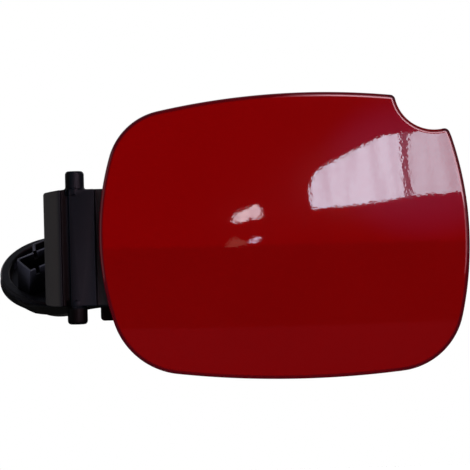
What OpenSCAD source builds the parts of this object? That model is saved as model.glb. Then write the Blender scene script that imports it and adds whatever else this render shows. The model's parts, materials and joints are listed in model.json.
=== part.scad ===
// Car fuel door: domed outer panel on a ribbed inner frame, carried by a
// swan-neck hinge arm with two trunnions, with the tethered filler cap.
// X runs along the door from the hinge, Y runs inwards, Z runs up the hinge axis.
// The origin is the middle of the lower trunnion.

/* [Door panel] */
// Width of the panel from its hinge edge to its finger edge
panel_w = 190.4; // [176:0.1:206]
// Height of the panel
panel_h = 147.5; // [138:0.1:160]
// Gap along the door from the hinge axis to the hinge edge of the panel
panel_gap = 12.7; // [12:0.1:16]
// How far the panel's middle lies above the middle of the hub
panel_rise = 3.5; // [-5:0.1:8]
// Distance of the panel's crown in front of the hinge axis
crown_reach = 16; // [14.5:0.1:18]
// Crown radius in a vertical section
crown_r_v = 480; // [400:1:900]
// Crown radius in a horizontal section
crown_r_h = 1200; // [900:1:2000]
// Wall of the painted skin
skin_t = 2.5; // [2:0.1:3]
// Depth of the panel's return edge
rim_depth = 7.5; // [6:0.1:8.5]
// Wall of the return edge
rim_t = 2.2; // [1.6:0.1:2.6]

/* [Panel corners] */
// Upper finger corner: distance of its centre from the finger edge
corner_ur_x = 38.6; // [34:0.1:44]
// Upper finger corner: distance of its centre from the top edge
corner_ur_z = 35; // [33:0.1:40]
// Upper finger corner radius
corner_ur_r = 32.5; // [28:0.1:33]
// Upper hinge corner: distance of its centre from the hinge edge
corner_ul_x = 37.8; // [34:0.1:44]
// Upper hinge corner: distance of its centre from the top edge
corner_ul_z = 40.3; // [36:0.1:44]
// Upper hinge corner radius
corner_ul_r = 33.1; // [28:0.1:34]
// Lower hinge corner: distance of its centre from the hinge edge
corner_ll_x = 43.5; // [40:0.1:48]
// Lower hinge corner: distance of its centre from the bottom edge
corner_ll_z = 42.2; // [40:0.1:46]
// Lower hinge corner radius
corner_ll_r = 38.6; // [34:0.1:40]
// Lower finger corner: distance of its centre from the finger edge
corner_lr_x = 39.1; // [36:0.1:44]
// Lower finger corner: distance of its centre from the bottom edge
corner_lr_z = 38.2; // [37:0.1:42]
// Lower finger corner radius
corner_lr_r = 35.6; // [30:0.1:36]
// Radius of the long bow of the top edge
bow_top = 392; // [300:1:600]
// Radius of the long bow of the hinge edge
bow_hinge = 148; // [130:1:220]
// Radius of the long bow of the bottom edge
bow_bottom = 515; // [400:1:700]
// Radius of the long bow of the finger edge
bow_finger = 182; // [150:1:260]

/* [Finger notch] */
// Radius of the finger notch
notch_r = 20.2; // [17:0.1:22]
// Distance of the notch centre from the finger edge
notch_x = 16.4; // [14:0.1:19]
// Distance of the notch centre below the top edge
notch_z = 0.6; // [-1:0.1:3]
// Rounding of the two corners that the notch leaves
notch_corner_r = 1.8; // [1:0.1:3]

/* [Inner frame] */
// Depth of the frame's front face under the painted surface
frame_depth = 7; // [6.5:0.1:8]
// Plate thickness of the frame
frame_t = 2.2; // [1.8:0.1:2.6]
// Gap between the panel's return edge and the frame
frame_gap = 0.8; // [0.5:0.1:1.2]
// Thickness of the frame's edge wall and ribs
rib_t = 1.7; // [1.4:0.1:2.2]
// Height of the ribs behind the plate
rib_h = 3.6; // [2.5:0.1:4]
// Rib spacing along the door
rib_pitch_x = 30; // [28:0.5:32]
// Rib spacing up the door
rib_pitch_z = 28; // [26:0.5:29]
// Width of a window between the ribs
window_w = 16; // [12:0.5:18]
// Height of a window between the ribs
window_h = 14; // [10:0.5:16]

/* [Hinge hub] */
// Height of the hub between its two shoulders
hub_h = 60.4; // [56:0.1:66]
// Wall of the hub and the neck
arm_t = 3; // [2.6:0.1:3.4]
// Radius of the rounded hood
hood_r = 12; // [11:0.1:13]
// Distance from the hinge axis to the flat front of the hub
hub_front = 5.5; // [5.2:0.1:6]
// Distance from the hinge axis to the hub's side wall
hub_side = 10.5; // [10:0.1:11]
// Width of the long groove beside the hood
groove_w = 4; // [3:0.1:5]
// Depth of the long groove
groove_depth = 2.2; // [1.5:0.1:2.4]
// Diameter of the upper trunnion
trunnion_upper_d = 9.8; // [9:0.1:10.4]
// Diameter of the lower trunnion
trunnion_lower_d = 10.4; // [9:0.1:10.6]
// Straight length of each trunnion
trunnion_straight = 7.5; // [6:0.1:9]
// Chamfer at the end of each trunnion
trunnion_chamfer = 1.2; // [0.8:0.1:1.6]
// Fillet at the root of each trunnion
trunnion_root = 0.8; // [0.5:0.1:1.2]

/* [Swan neck] */
// Height of the neck
neck_h = 52; // [48:0.5:54]
// Distance from the hinge axis to the back of the neck
neck_back = 15; // [14.5:0.1:17]
// Distance from the hinge axis to the far side of the neck
neck_far = 29.5; // [28.5:0.1:31]
// How far the mounting leaf reaches along the door
leaf_reach = 60; // [58:0.1:61]
// Distance in front of the hinge axis at which the leaf seats
leaf_seat = 2.5; // [2:0.1:3]
// Height between the two arm screws
arm_screw_pitch = 32; // [28:0.5:36]
// Distance from the hinge axis to the arm screws
arm_screw_x = 47; // [46:0.5:50]

/* [Filler cap] */
// Largest radius of the cap's head
cap_r = 33.6; // [32:0.1:34.5]
// Height of the cap's rim above its widest circle
cap_rim_h = 7; // [6.8:0.1:8]
// Inner radius of the cap's rim
cap_dish_r = 28; // [27.5:0.1:28.5]
// Height of the dish floor above the widest circle
cap_floor_z = 2.4; // [2.2:0.1:2.8]
// Thickness of the dish floor
cap_floor_t = 2.4; // [2:0.1:2.6]
// Height of the grip above the widest circle
grip_top = 19; // [17:0.1:20]
// Half length of the grip at its top
grip_half = 23.3; // [21:0.1:23.6]
// Width of the grip
grip_w = 14.8; // [12:0.1:15]
// Extra width of the grip's middle on its upper side
grip_wing = 6.8; // [5:0.1:7.5]
// Wall of the grip
grip_wall = 1.5; // [1.2:0.1:1.8]
// Turn of the grip in the cap's plane
grip_turn = 36.9; // [0:0.1:45]
// Radius of the plug that enters the filler neck
plug_r = 17.5; // [17:0.1:18.5]
// Length of the plug below the widest circle
plug_len = 13.5; // [13:0.1:15]
// How far each bayonet lug stands out of the plug
lug_out = 3; // [2:0.1:3.5]
// Outer radius of the gasket
gasket_r = 24; // [22:0.1:26]
// Thickness of the gasket
gasket_t = 3; // [2:0.1:3.5]

/* [Tether] */
// Width of the tether strap
strap_w = 4.6; // [4:0.1:5]
// Thickness of the tether strap
strap_t = 1.8; // [1.4:0.1:2.2]
// Radius of the tether's peg
peg_r = 2.5; // [2:0.1:3]
// Radial clearance of the tether's eye on its peg
peg_clear = 0.08; // [0.04:0.01:0.1]
// Radius of the tether's eye
eye_r = 5.5; // [5:0.1:6]
// Clearance of the tether's ring in the cap's groove
ring_clear = 0.3; // [0.3:0.05:0.5]

/* [Fasteners and stops] */
// Distance of the frame screws from the hinge and finger edges
screw_side = 42.2; // [40:0.1:46]
// Distance of the frame screws from the top and bottom edges
screw_end = 23.7; // [22:0.1:26]
// Shank radius of a frame screw
frame_screw_r = 1.6; // [1.4:0.1:1.8]
// Shank radius of an arm screw
arm_screw_r = 2; // [1.8:0.1:2.2]
// Distance of the bump stops from the top and bottom edges
stop_end = 34; // [33:0.1:38]
// Distance of the bump stops from the finger edge
stop_edge = 19; // [18:0.1:22]
// Radius of a bump stop's head
stop_r = 6; // [5:0.1:6.5]
// Height of a bump stop's head
stop_h = 8; // [6:0.1:10]
// Distance of the striker's tab from the finger edge
striker_edge = 11; // [10:0.1:13]
// Length of the striker's tab
striker_len = 16; // [14:0.1:18]
// Width of the striker
striker_w = 18; // [16:0.5:20]
// Metal thickness of the striker
striker_t = 1.8; // [1.5:0.1:2]
// Length of the striker's slot, up the door
slot_w = 9; // [8:0.1:10]
// Depth of the striker's slot
slot_d = 8; // [7:0.1:9]
// Gap between the jaws of the cap holder
holder_gap = 13.4; // [13.2:0.1:14.5]
// Length of the cap holder's jaws
holder_len = 24; // [20:0.5:25]
// Reach of the cap holder behind the hinge axis
holder_reach = 9; // [7:0.1:11]

/* [Hidden] */
$fn = 64;
// Facets of the very large crown circles
crown_fn = 720;
// Overlap that joins the solids of one piece
eps = 0.01;
// Depth that reaches past every piece of the door
deep = 45;

mid_z = hub_h / 2 + trunnion_root + trunnion_straight / 2;
panel_left = panel_gap;
panel_right = panel_gap + panel_w;
panel_x = panel_gap + panel_w / 2;
panel_z = mid_z + panel_rise;
panel_top = panel_z + panel_h / 2;
panel_bottom = panel_z - panel_h / 2;
frame_inset = rim_t + frame_gap;
frame_back = frame_depth + frame_t;
rib_back = frame_back + rib_h;

// Cap: its place, its tilt out of the upright and its tether groove
cap_pos = [-13.4, 56, mid_z - 17.1];
cap_tilt = 33.5;
groove_low = 2.2;
groove_high = 4.9;
groove_r = cap_r - 2.1;
collar_r = cap_r - 0.4;
core_flange_r = cap_dish_r - 1;
core_flange_t = 2;
valve_bore_r = 8;
valve_body_r = 10;
seal_t = 1;
plate_t = 1;
retainer_t = 1.5;
roof_t = 1.6;

// Anchor lug under the neck, and the peg through it
lug_left = hub_side + 0.5;
lug_right = neck_far - 2.5;
lug_low = mid_z - neck_h / 2 - 12.8;
peg_x = hub_side + 7.5;
peg_z = mid_z - neck_h / 2 - 3.5;
eye_t = 2.5;
eye_gap = 0.3;
peg_head_t = 1.8;
peg_head_r = 4.6;
peg_barb_r = 3.1;
peg_barb_t = 1.6;

// Strap: angles in the cap's plane at which it leaves the ring and then the cap
strap_from = -130;
strap_to = -109;
strap_gap = 0.4;
strap_root_w = groove_high - groove_low - 2 * ring_clear - 0.1;
strap_root_r = groove_r + ring_clear + strap_t / 2 + 0.05;
strap_r = cap_r + strap_gap + strap_t / 2;
strap_steps = 14;
arc_steps = 12;
strap_mid = (groove_low + groove_high) / 2;

frame_screw_dx = panel_w - 2 * screw_side;
frame_screw_dz = panel_h - 2 * screw_end;
screw_head_r = 2.3 * frame_screw_r;
screw_head_t = 2.2;
screw_seat = crown_y(frame_screw_dx / 2, frame_screw_dz / 2) + frame_back + 0.6;
screw_tip = crown_y(frame_screw_dx / 2, frame_screw_dz / 2) + 1.5;
arm_head_r = 2.1 * arm_screw_r;
arm_head_t = 2.6;
arm_screw_len = 11;
stop_dx = panel_w / 2 - stop_edge;
stop_dz = panel_h - 2 * stop_end;
stop_seat = crown_y(stop_dx, stop_dz / 2) + frame_back + 1;
stop_neck_r = 2.5;
stop_barb_r = 3.4;
stop_barb_t = 3;
striker_x = panel_right - striker_edge;
striker_z = panel_z - 2;
striker_base = 17;
striker_seat = crown_y(panel_w / 2 - striker_edge, 2) + frame_back + 0.7;
rivet_r = 1.6;
rivet_head_r = 3;
rivet_head_t = 1;
rivet_pitch = 10;
rivet_x = striker_x - 11;

// Depth of the painted surface at a place measured from the middle of the panel
function crown_y(dx, dz) =
    let (ring = crown_r_h - crown_r_v + sqrt(crown_r_v * crown_r_v - dz * dz))
    crown_r_h - crown_reach - sqrt(ring * ring - dx * dx);

// Panel outline: four corner circles joined by four long bows
corners = [
    [panel_right - corner_ur_x, panel_top - corner_ur_z, corner_ur_r],
    [panel_left + corner_ul_x, panel_top - corner_ul_z, corner_ul_r],
    [panel_left + corner_ll_x, panel_bottom + corner_ll_z, corner_ll_r],
    [panel_right - corner_lr_x, panel_bottom + corner_lr_z, corner_lr_r]
];
bows = [bow_top, bow_hinge, bow_bottom, bow_finger];
corner_steps = 10;
bow_steps = 6;

// Centre of the bow of radius r that touches the corner circles a and b from inside
function bow_centre(a, b, r) =
    let (
        run = [b[0] - a[0], b[1] - a[1]],
        gap = norm(run),
        ra = r - a[2],
        rb = r - b[2],
        along = (ra * ra - rb * rb + gap * gap) / (2 * gap),
        side = sqrt(ra * ra - along * along),
        u = run / gap
    )
    [a[0] + u[0] * along - u[1] * side, a[1] + u[1] * along + u[0] * side];

function heading(from, to) = atan2(to[1] - from[1], to[0] - from[0]);
function wrap(angle, low) = angle < low ? angle + 360 : angle;
function arc(centre, r, a0, a1, steps) =
    [
        for (i = [0:steps - 1])
            let (a = a0 + (a1 - a0) * i / steps)
            centre + r * [cos(a), sin(a)]
    ];

bow_centres = [for (i = [0:3]) bow_centre(corners[i], corners[(i + 1) % 4], bows[i])];
function flat(c) = [c[0], c[1]];
outline_points = [
    for (i = [0:3])
        let (
            here = flat(corners[i]),
            next = flat(corners[(i + 1) % 4]),
            a_in = heading(bow_centres[(i + 3) % 4], here),
            a_out = wrap(heading(bow_centres[i], here), a_in),
            a_end = wrap(heading(bow_centres[i], next), a_out)
        )
        each concat(
            arc(here, corners[i][2], a_in, a_out, corner_steps),
            arc(bow_centres[i], bows[i], a_out, a_end, bow_steps)
        )
];

module panel_outline(inset) {
    offset(delta = -inset)
        offset(r = notch_corner_r)
            offset(r = -notch_corner_r)
                difference() {
                    polygon(outline_points);
                    translate([panel_right - notch_x, panel_top - notch_z]) circle(notch_r);
                }
}

// Everything drawn in X and Z, carried from depth y0 to depth y1
module along_y(y0, y1) {
    translate([0, y1, 0]) rotate([90, 0, 0]) linear_extrude(y1 - y0) children();
}

// Shell between two depths under the crowned surface
module crown_layer(d0, d1) {
    span = 12;
    window_x = crown_r_h - deep - 25;
    translate([panel_x, crown_r_h - crown_reach, panel_z])
        rotate([0, 0, -90 - span / 2])
            rotate_extrude(angle = span, $fn = crown_fn)
                intersection() {
                    translate([crown_r_h - crown_r_v, 0])
                        difference() {
                            circle(crown_r_v - d0, $fn = crown_fn);
                            circle(crown_r_v - d1, $fn = crown_fn);
                        }
                    translate([window_x, -panel_h]) square([deep + 30, 2 * panel_h]);
                }
}

// Part of a shape that lies between two depths under the crowned surface
module under_crown(d0, d1) {
    intersection() {
        crown_layer(d0, d1);
        along_y(-deep, deep) children();
    }
}

// Solid from a depth under the crowned surface back to a flat seat
module pad(d0, seat) {
    intersection() {
        crown_layer(d0, deep);
        along_y(-deep, seat) children();
    }
}

// Places a child at each frame screw
module at_screw(i) {
    side = i % 2 == 1 ? -1 : 1;
    level = i <= 2 ? 1 : -1;
    translate([panel_x + side * frame_screw_dx / 2, 0, panel_z + level * frame_screw_dz / 2])
        children();
}

module rod(y0, y1, r) {
    translate([0, y1, 0]) rotate([90, 0, 0]) cylinder(h = y1 - y0, r = r);
}

module rounded_box(w, h, r) {
    offset(r = r, $fn = 24) square([w - 2 * r, h - 2 * r], center = true);
}

// Domed painted skin with its return edge and four blind screw bosses
module outer_panel() {
    boss_r = 3.7;
    color("darkred")
        difference() {
            union() {
                under_crown(0, skin_t) panel_outline(0);
                under_crown(skin_t - 0.5, rim_depth)
                    difference() {
                        panel_outline(0);
                        panel_outline(rim_t);
                    }
                for (i = [1:4])
                    intersection() {
                        crown_layer(skin_t - 0.5, frame_depth);
                        at_screw(i) rod(-deep, deep, boss_r);
                    }
            }
            for (i = [1:4]) at_screw(i) rod(screw_tip, 0, frame_screw_r);
        }
}

// Outline of the lattice behind the frame
module rib_lines() {
    reach_x = ceil(panel_w / 2 / rib_pitch_x);
    reach_z = ceil(panel_h / 2 / rib_pitch_z);
    for (k = [-reach_x:reach_x - 1])
        translate([panel_x + (k + 0.5) * rib_pitch_x, panel_z])
            square([rib_t, panel_h + 10], center = true);
    for (k = [-reach_z:reach_z - 1])
        translate([panel_x, panel_z + (k + 0.5) * rib_pitch_z])
            square([panel_w + 10, rib_t], center = true);
}

// Places that the ribs leave free for the arm, the striker, the bump stops and the screw heads
module rib_clearances() {
    for (level = [-1, 1]) {
        translate([panel_x + stop_dx, panel_z + level * stop_dz / 2]) circle(stop_r + 1.2);
        for (side = [-1, 1])
            translate([panel_x + side * frame_screw_dx / 2, panel_z + level * frame_screw_dz / 2])
                circle(screw_head_r + 1);
    }
    translate([neck_far - arm_t - 2, mid_z - neck_h / 2 - 2])
        square([leaf_reach - neck_far + arm_t + 3.4, neck_h + 4]);
    translate([striker_x - striker_base - 1, striker_z - striker_w / 2 - 1])
        square([striker_base + 4, striker_w + 2]);
}

module window_at(kx, kz) {
    translate([panel_x + kx * rib_pitch_x, panel_z + kz * rib_pitch_z])
        rounded_box(window_w, window_h, 3);
}

module at_stop(level) {
    translate([panel_x + stop_dx, 0, panel_z + level * stop_dz / 2]) children();
}

// Ribbed carrier under the skin, with the seats of all that is fixed to the door
module inner_frame() {
    arm_boss_r = 4.6;
    holder_t = 2.2;
    lip = 0.7;
    lip_h = 3;
    color("dimgray")
        difference() {
            union() {
                under_crown(frame_depth, frame_back) panel_outline(frame_inset);
                under_crown(skin_t + 0.5, rib_back)
                    difference() {
                        panel_outline(frame_inset);
                        panel_outline(frame_inset + rib_t);
                    }
                under_crown(frame_back - 0.5, rib_back)
                    difference() {
                        intersection() {
                            rib_lines();
                            panel_outline(frame_inset + rib_t / 2);
                        }
                        rib_clearances();
                    }
                pad(frame_depth, -leaf_seat)
                    translate([(neck_far - arm_t + leaf_reach) / 2, mid_z])
                        rounded_box(leaf_reach - neck_far + arm_t + 2, neck_h + 2, 4);
                pad(frame_depth, striker_seat)
                    translate([striker_x - striker_base / 2, striker_z])
                        rounded_box(striker_base + 1, striker_w + 1, 2);
                for (i = [1:4])
                    intersection() {
                        crown_layer(frame_depth, deep);
                        at_screw(i) rod(-deep, screw_seat, 5.2);
                    }
                for (level = [-1, 1])
                    intersection() {
                        crown_layer(frame_depth, deep);
                        at_stop(level) rod(-deep, stop_seat, 7);
                    }
                for (side = [-1, 1])
                    intersection() {
                        crown_layer(skin_t + 0.5, deep);
                        translate([arm_screw_x, 0, mid_z + side * arm_screw_pitch / 2])
                            rod(-deep, -leaf_seat, arm_boss_r);
                    }
                for (side = [-1, 1]) {
                    pad(frame_depth, holder_reach)
                        translate([panel_x + side * (holder_gap + holder_t) / 2, panel_z])
                            square([holder_t, holder_len], center = true);
                    translate([panel_x + side * (holder_gap - lip + eps) / 2, 0, panel_z])
                        translate([0, holder_reach - lip_h / 2, 0])
                            cube([lip + eps, lip_h, holder_len], center = true);
                }
            }
            for (i = [1:4]) at_screw(i) rod(-deep, deep, frame_screw_r + 0.4);
            for (level = [-1, 1]) at_stop(level) rod(-deep, deep, stop_neck_r);
            for (side = [-1, 1]) {
                translate([arm_screw_x, 0, mid_z + side * arm_screw_pitch / 2])
                    rod(-leaf_seat + arm_t - arm_screw_len, deep, arm_screw_r);
                translate([rivet_x, 0, striker_z + side * rivet_pitch / 2]) rod(-deep, deep, rivet_r);
            }
            along_y(-deep, deep)
                for (kx = [-1:1])
                    for (kz = [-1:1])
                        if (kx != 0 || kz != 0) window_at(kx, kz);
        }
}

// Section of the hub across the hinge axis
module hub_section() {
    hood_x = hub_side - 15.5;
    hood_y = hood_r - hub_front - 0.9;
    groove_x = -groove_w - arm_t;
    intersection() {
        translate([hood_x, hood_y])
            difference() {
                circle(hood_r);
                circle(hood_r - arm_t);
            }
        translate([hood_x - hood_r - 1, -hood_r])
            square([groove_x - hood_x + hood_r + 1, hood_y + hood_r]);
    }
    translate([groove_x - 2, -hub_front]) square([2, groove_depth + arm_t - 0.2]);
    translate([groove_x - 2, groove_depth - hub_front]) square([groove_w + 4, arm_t - 0.2]);
    translate([-arm_t, -hub_front]) square([hub_side + arm_t, arm_t]);
    translate([hub_side - arm_t, -hub_front]) square([arm_t, hub_front + 8.5]);
}

// Outline of the webs that close the hub and stiffen it
module web_section(depth) {
    hood_x = hub_side - 15.5;
    hood_y = hood_r - hub_front - 0.9;
    groove_x = -groove_w - arm_t;
    front = groove_depth + 0.5 - hub_front;
    intersection() {
        translate([hood_x, hood_y]) circle(hood_r - 0.5);
        translate([hood_x - hood_r, -hood_r])
            square([groove_x - hood_x + hood_r - 0.5, hood_r + depth]);
    }
    translate([groove_x - 1, front]) square([hub_side - groove_x + 0.5, depth - front]);
}

// Outline of the hub seen from the front: the hood's outer corners are rounded
module hub_outline() {
    left = hub_side - 15.5 - hood_r;
    low = mid_z - hub_h / 2;
    high = mid_z + hub_h / 2;
    offset(r = 1.8, $fn = 32)
        offset(r = -1.8)
            polygon([
                [left, low + 0.6], [left + 8, low], [2 * hub_side, low],
                [2 * hub_side, high], [left + 11, high], [left, high - 1.5]
            ]);
}

// Recessed lip that carries the hub's face on behind the panel's edge
module hub_lip() {
    along_y(2.3 - hub_front, 4.9 - hub_front)
        difference() {
            translate([hub_side - arm_t, mid_z - hub_h / 2])
                square([panel_gap - hub_side + arm_t + 6, hub_h]);
            panel_outline(frame_inset - 1.2);
        }
}

// Section of the neck that reaches round the edge of the car's skin
module neck_section() {
    difference() {
        offset(r = 4) offset(r = -4)
            translate([hub_side - arm_t, -9]) square([neck_far - hub_side + arm_t, neck_back + 9]);
        translate([hub_side, -10]) square([neck_far - arm_t - hub_side, neck_back - arm_t + 10 - 2]);
        offset(r = 2) offset(r = -2)
            translate([hub_side, -10]) square([neck_far - arm_t - hub_side, neck_back - arm_t + 10]);
        translate([0, -10]) square([hub_side + 4, 8]);
        translate([neck_far - arm_t - 5, -10]) square([12, 10 - leaf_seat]);
    }
    translate([neck_far - arm_t, -leaf_seat]) square([leaf_reach - neck_far + arm_t, arm_t]);
}

module trunnion(d) {
    r = d / 2;
    tip = trunnion_root + trunnion_straight + trunnion_chamfer;
    rotate_extrude()
        polygon([
            [0, -arm_t], [r + trunnion_root, -arm_t], [r + trunnion_root, 0], [r, trunnion_root],
            [r, trunnion_root + trunnion_straight], [r - 0.8 * trunnion_chamfer, tip], [0, tip]
        ]);
}

// Swan-neck arm: hub with two trunnions, neck, mounting leaf and tether lug
module hinge_arm() {
    web_t = 2;
    gusset_h = 9;
    gusset_x = 40;
    color("#202024")
        difference() {
            union() {
                intersection() {
                    union() {
                        translate([0, 0, mid_z - hub_h / 2]) linear_extrude(hub_h) hub_section();
                        for (level = [-1, 1])
                            translate([0, 0, mid_z + level * (hub_h - arm_t) / 2 - arm_t / 2])
                                linear_extrude(arm_t) web_section(7.5);
                    }
                    along_y(-deep, deep) hub_outline();
                }
                hub_lip();
                for (level = [-0.5, 0, 0.5])
                    translate([0, 0, mid_z + level * hub_h / 2 - web_t / 2])
                        linear_extrude(web_t) web_section(5.5);
                translate([0, 0, mid_z + hub_h / 2]) trunnion(trunnion_upper_d);
                translate([0, 0, mid_z - hub_h / 2]) mirror([0, 0, 1]) trunnion(trunnion_lower_d);
                intersection() {
                    translate([0, 0, mid_z - neck_h / 2]) linear_extrude(neck_h) neck_section();
                    along_y(-deep, deep)
                        translate([leaf_reach / 2 - 5, mid_z]) rounded_box(leaf_reach + 10, neck_h, 5);
                }
                for (z = [-0.47, -0.14, 0.14, 0.47])
                    translate([0, 0, mid_z + z * neck_h - web_t / 2])
                        linear_extrude(web_t)
                            polygon([
                                [neck_far - 1, arm_t - leaf_seat - 0.5],
                                [gusset_x, arm_t - leaf_seat - 0.5],
                                [gusset_x, arm_t - leaf_seat], [neck_far, gusset_h],
                                [neck_far - 1, gusset_h]
                            ]);
                along_y(neck_back - arm_t, neck_back)
                    offset(r = 2, $fn = 24)
                        offset(r = -2)
                            translate([lug_left, lug_low])
                                square([lug_right - lug_left, mid_z - neck_h / 2 - lug_low + 8]);
            }
            for (side = [-1, 1])
                translate([arm_screw_x, 0, mid_z + side * arm_screw_pitch / 2])
                    rod(-deep, deep, arm_screw_r + 0.3);
            translate([peg_x, 0, peg_z]) rod(0, deep, peg_r);
        }
}

// Pan-head screw along Y, its head's seat at y = 0 and its tip forward
module pan_screw(shank_r, shank_len, head_r, head_t) {
    slot_t = 0.45 * shank_r;
    difference() {
        rotate([-90, 0, 0])
            rotate_extrude()
                polygon([
                    [0, -shank_len], [0.6 * shank_r, -shank_len],
                    [shank_r, 0.6 * shank_r - shank_len], [shank_r, 0],
                    [head_r, 0], [head_r, 0.45 * head_t], [0.82 * head_r, 0.85 * head_t],
                    [0.5 * head_r, head_t],
                    [0, head_t]
                ]);
        for (turn = [0, 90])
            rotate([0, turn, 0])
                translate([0, head_t, 0]) cube([1.1 * head_r, 1.1 * head_t, slot_t], center = true);
    }
}

module frame_screw(i) {
    color("gray")
        at_screw(i)
            translate([0, screw_seat, 0])
                pan_screw(frame_screw_r, screw_seat - screw_tip, screw_head_r, screw_head_t);
}

module arm_screw(i) {
    side = i == 1 ? 1 : -1;
    color("gray")
        translate([arm_screw_x, arm_t - leaf_seat, mid_z + side * arm_screw_pitch / 2])
            pan_screw(arm_screw_r, arm_screw_len, arm_head_r, arm_head_t);
}

// Folded striker that the lock pin enters
module lock_striker() {
    slot_y = striker_seat + striker_len - 3 - slot_d;
    color("silver")
        difference() {
            union() {
                along_y(striker_seat, striker_seat + striker_t)
                    translate([striker_x - striker_base / 2, striker_z])
                        rounded_box(striker_base, striker_w, 1.5);
                translate([striker_x - striker_t, striker_seat, striker_z])
                    rotate([0, 90, 0])
                        linear_extrude(striker_t)
                            translate([0, striker_len / 2]) rounded_box(striker_w, striker_len, 1.5);
            }
            translate([striker_x - striker_t - 1, slot_y, striker_z - slot_w / 2])
                cube([striker_t + 2, slot_d, slot_w]);
            for (side = [-1, 1])
                translate([rivet_x, 0, striker_z + side * rivet_pitch / 2]) rod(-deep, deep, rivet_r);
        }
}

// Blind rivet through the striker and the frame's pad
module striker_rivet(i) {
    side = i == 1 ? 1 : -1;
    tail = crown_y(rivet_x - panel_x, 7) + frame_depth;
    head = striker_seat + striker_t;
    color("silver")
        translate([rivet_x, 0, striker_z + side * rivet_pitch / 2])
            rotate([-90, 0, 0])
                rotate_extrude()
                    polygon([
                        [0, tail - 1.6], [1.4 * rivet_r, tail - 1.2], [1.4 * rivet_r, tail - 0.3],
                        [rivet_r, tail - 0.3],
                        [rivet_r, head], [rivet_head_r, head],
                        [0.8 * rivet_head_r, head + 0.8 * rivet_head_t],
                        [0, head + rivet_head_t]
                    ]);
}

// Push-in rubber buffer
module bump_stop(level) {
    front = crown_y(stop_dx, stop_dz / 2) + frame_depth - 0.6;
    color("black")
        at_stop(level)
            rotate([-90, 0, 0])
                rotate_extrude()
                    polygon([
                        [0, front - stop_barb_t], [1.5, front - stop_barb_t],
                        [stop_barb_r, front - 0.6],
                        [stop_barb_r, front], [stop_neck_r, front], [stop_neck_r, stop_seat],
                        [stop_r, stop_seat],
                        [stop_r, stop_seat + 0.55 * stop_h], [0.8 * stop_r, stop_seat + 0.85 * stop_h],
                        [0.45 * stop_r, stop_seat + stop_h], [0, stop_seat + stop_h]
                    ]);
}

// Push-in peg that the tether's eye turns on
module tether_peg() {
    front = neck_back - arm_t;
    head = neck_back + eye_t + 2 * eye_gap;
    color("#202024")
        translate([peg_x, 0, peg_z])
            rotate([-90, 0, 0])
                rotate_extrude()
                    polygon([
                        [0, front - peg_barb_t], [0.7 * peg_r, front - peg_barb_t],
                        [peg_barb_r, front - 0.5],
                        [peg_barb_r, front], [peg_r, front], [peg_r, head], [peg_head_r, head],
                        [peg_head_r, head + 0.6 * peg_head_t], [0.75 * peg_head_r, head + peg_head_t],
                        [0, head + peg_head_t]
                    ]);
}

module cap_frame() {
    translate(cap_pos) rotate([cap_tilt, 0, 0]) children();
}

// A place in the cap's frame, in the door's frame
function from_cap(p) = cap_pos + [
    p[0],
    p[1] * cos(cap_tilt) - p[2] * sin(cap_tilt),
    p[1] * sin(cap_tilt) + p[2] * cos(cap_tilt)
];
function turned(p) = from_cap(p) - cap_pos;
function unit(v) = v / norm(v);
function curve(a, b, c, d, t) =
    pow(1 - t, 3) * a + 3 * t * pow(1 - t, 2) * b + 3 * t * t * (1 - t) * c + pow(t, 3) * d;

function bounded(v) = max(0, min(1, v));
function arc_r(angle) =
    let (done = (angle - strap_from) / (strap_to - strap_from) / 0.6)
    strap_root_r + (strap_r - strap_root_r) * bounded(done);
function arc_place(angle) = from_cap([arc_r(angle) * cos(angle), arc_r(angle) * sin(angle), strap_mid]);
strap_start = arc_place(strap_to);
strap_out = turned([-sin(strap_to), cos(strap_to), 0]);
strap_end = [peg_x - (peg_r + eye_r) / 2, neck_back + eye_gap + eye_t / 2, peg_z];
strap_hand = 14;

// Middle of the strap: out of the ring and round the cap while t is below 0, then on to the peg
function strap_place(t) =
    t < 0
        ? arc_place(strap_to + t * (strap_to - strap_from))
        : curve(strap_start, strap_start + strap_hand * strap_out,
            strap_end - strap_hand * [1, -0.15, 0.05], strap_end, t);
function strap_ring(k) =
    let (
        t = k < arc_steps ? k / arc_steps - 1 : (k - arc_steps) / strap_steps,
        p = strap_place(t),
        run = unit(strap_place(t + 0.01) - strap_place(t - 0.01)),
        twist = max(t, 0),
        lean = unit((1 - twist) * turned([0, 0, 1]) + twist * [0, 0, 1]),
        side = unit(cross(run, lean)),
        up = cross(side, run),
        w = strap_root_w + (strap_w - strap_root_w) * bounded((t + 0.4) / 0.4)
    )
    [for (c = [[-1, -1], [1, -1], [1, 1], [-1, 1]]) p + c[0] * strap_t / 2 * side + c[1] * w / 2 * up];

// Part of a flat ring in the cap's plane
module sector(r0, r1, a0, a1, z0, z1) {
    rotate([0, 0, a0])
        rotate_extrude(angle = a1 - a0)
            translate([r0, z0]) square([r1 - r0, z1 - z0]);
}

// Moulded tether: ring round the cap, strap and eye in one piece
module tether() {
    last_ring = arc_steps + strap_steps;
    rings = [for (k = [0:last_ring]) each strap_ring(k)];
    last = 4 * last_ring;
    sides = [
        for (k = [0:last_ring - 1])
            for (j = [0:3]) [4 * k + j, 4 * k + (j + 1) % 4, 4 * k + 4 + (j + 1) % 4, 4 * k + 4 + j]
    ];
    ring_low = groove_low + ring_clear;
    ring_high = groove_high - ring_clear;
    color("#18181b")
        difference() {
            union() {
                cap_frame()
                    rotate_extrude()
                        translate([groove_r + ring_clear, ring_low])
                            square([collar_r - groove_r - ring_clear, ring_high - ring_low]);
                polyhedron(points = rings, faces = concat([[3, 2, 1, 0]], sides,
                    [[last, last + 1, last + 2, last + 3]]));
                translate([peg_x, 0, peg_z])
                    rod(neck_back + eye_gap, neck_back + eye_gap + eye_t, eye_r);
            }
            translate([peg_x, 0, peg_z]) rod(0, deep, peg_r + peg_clear);
        }
}

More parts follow.
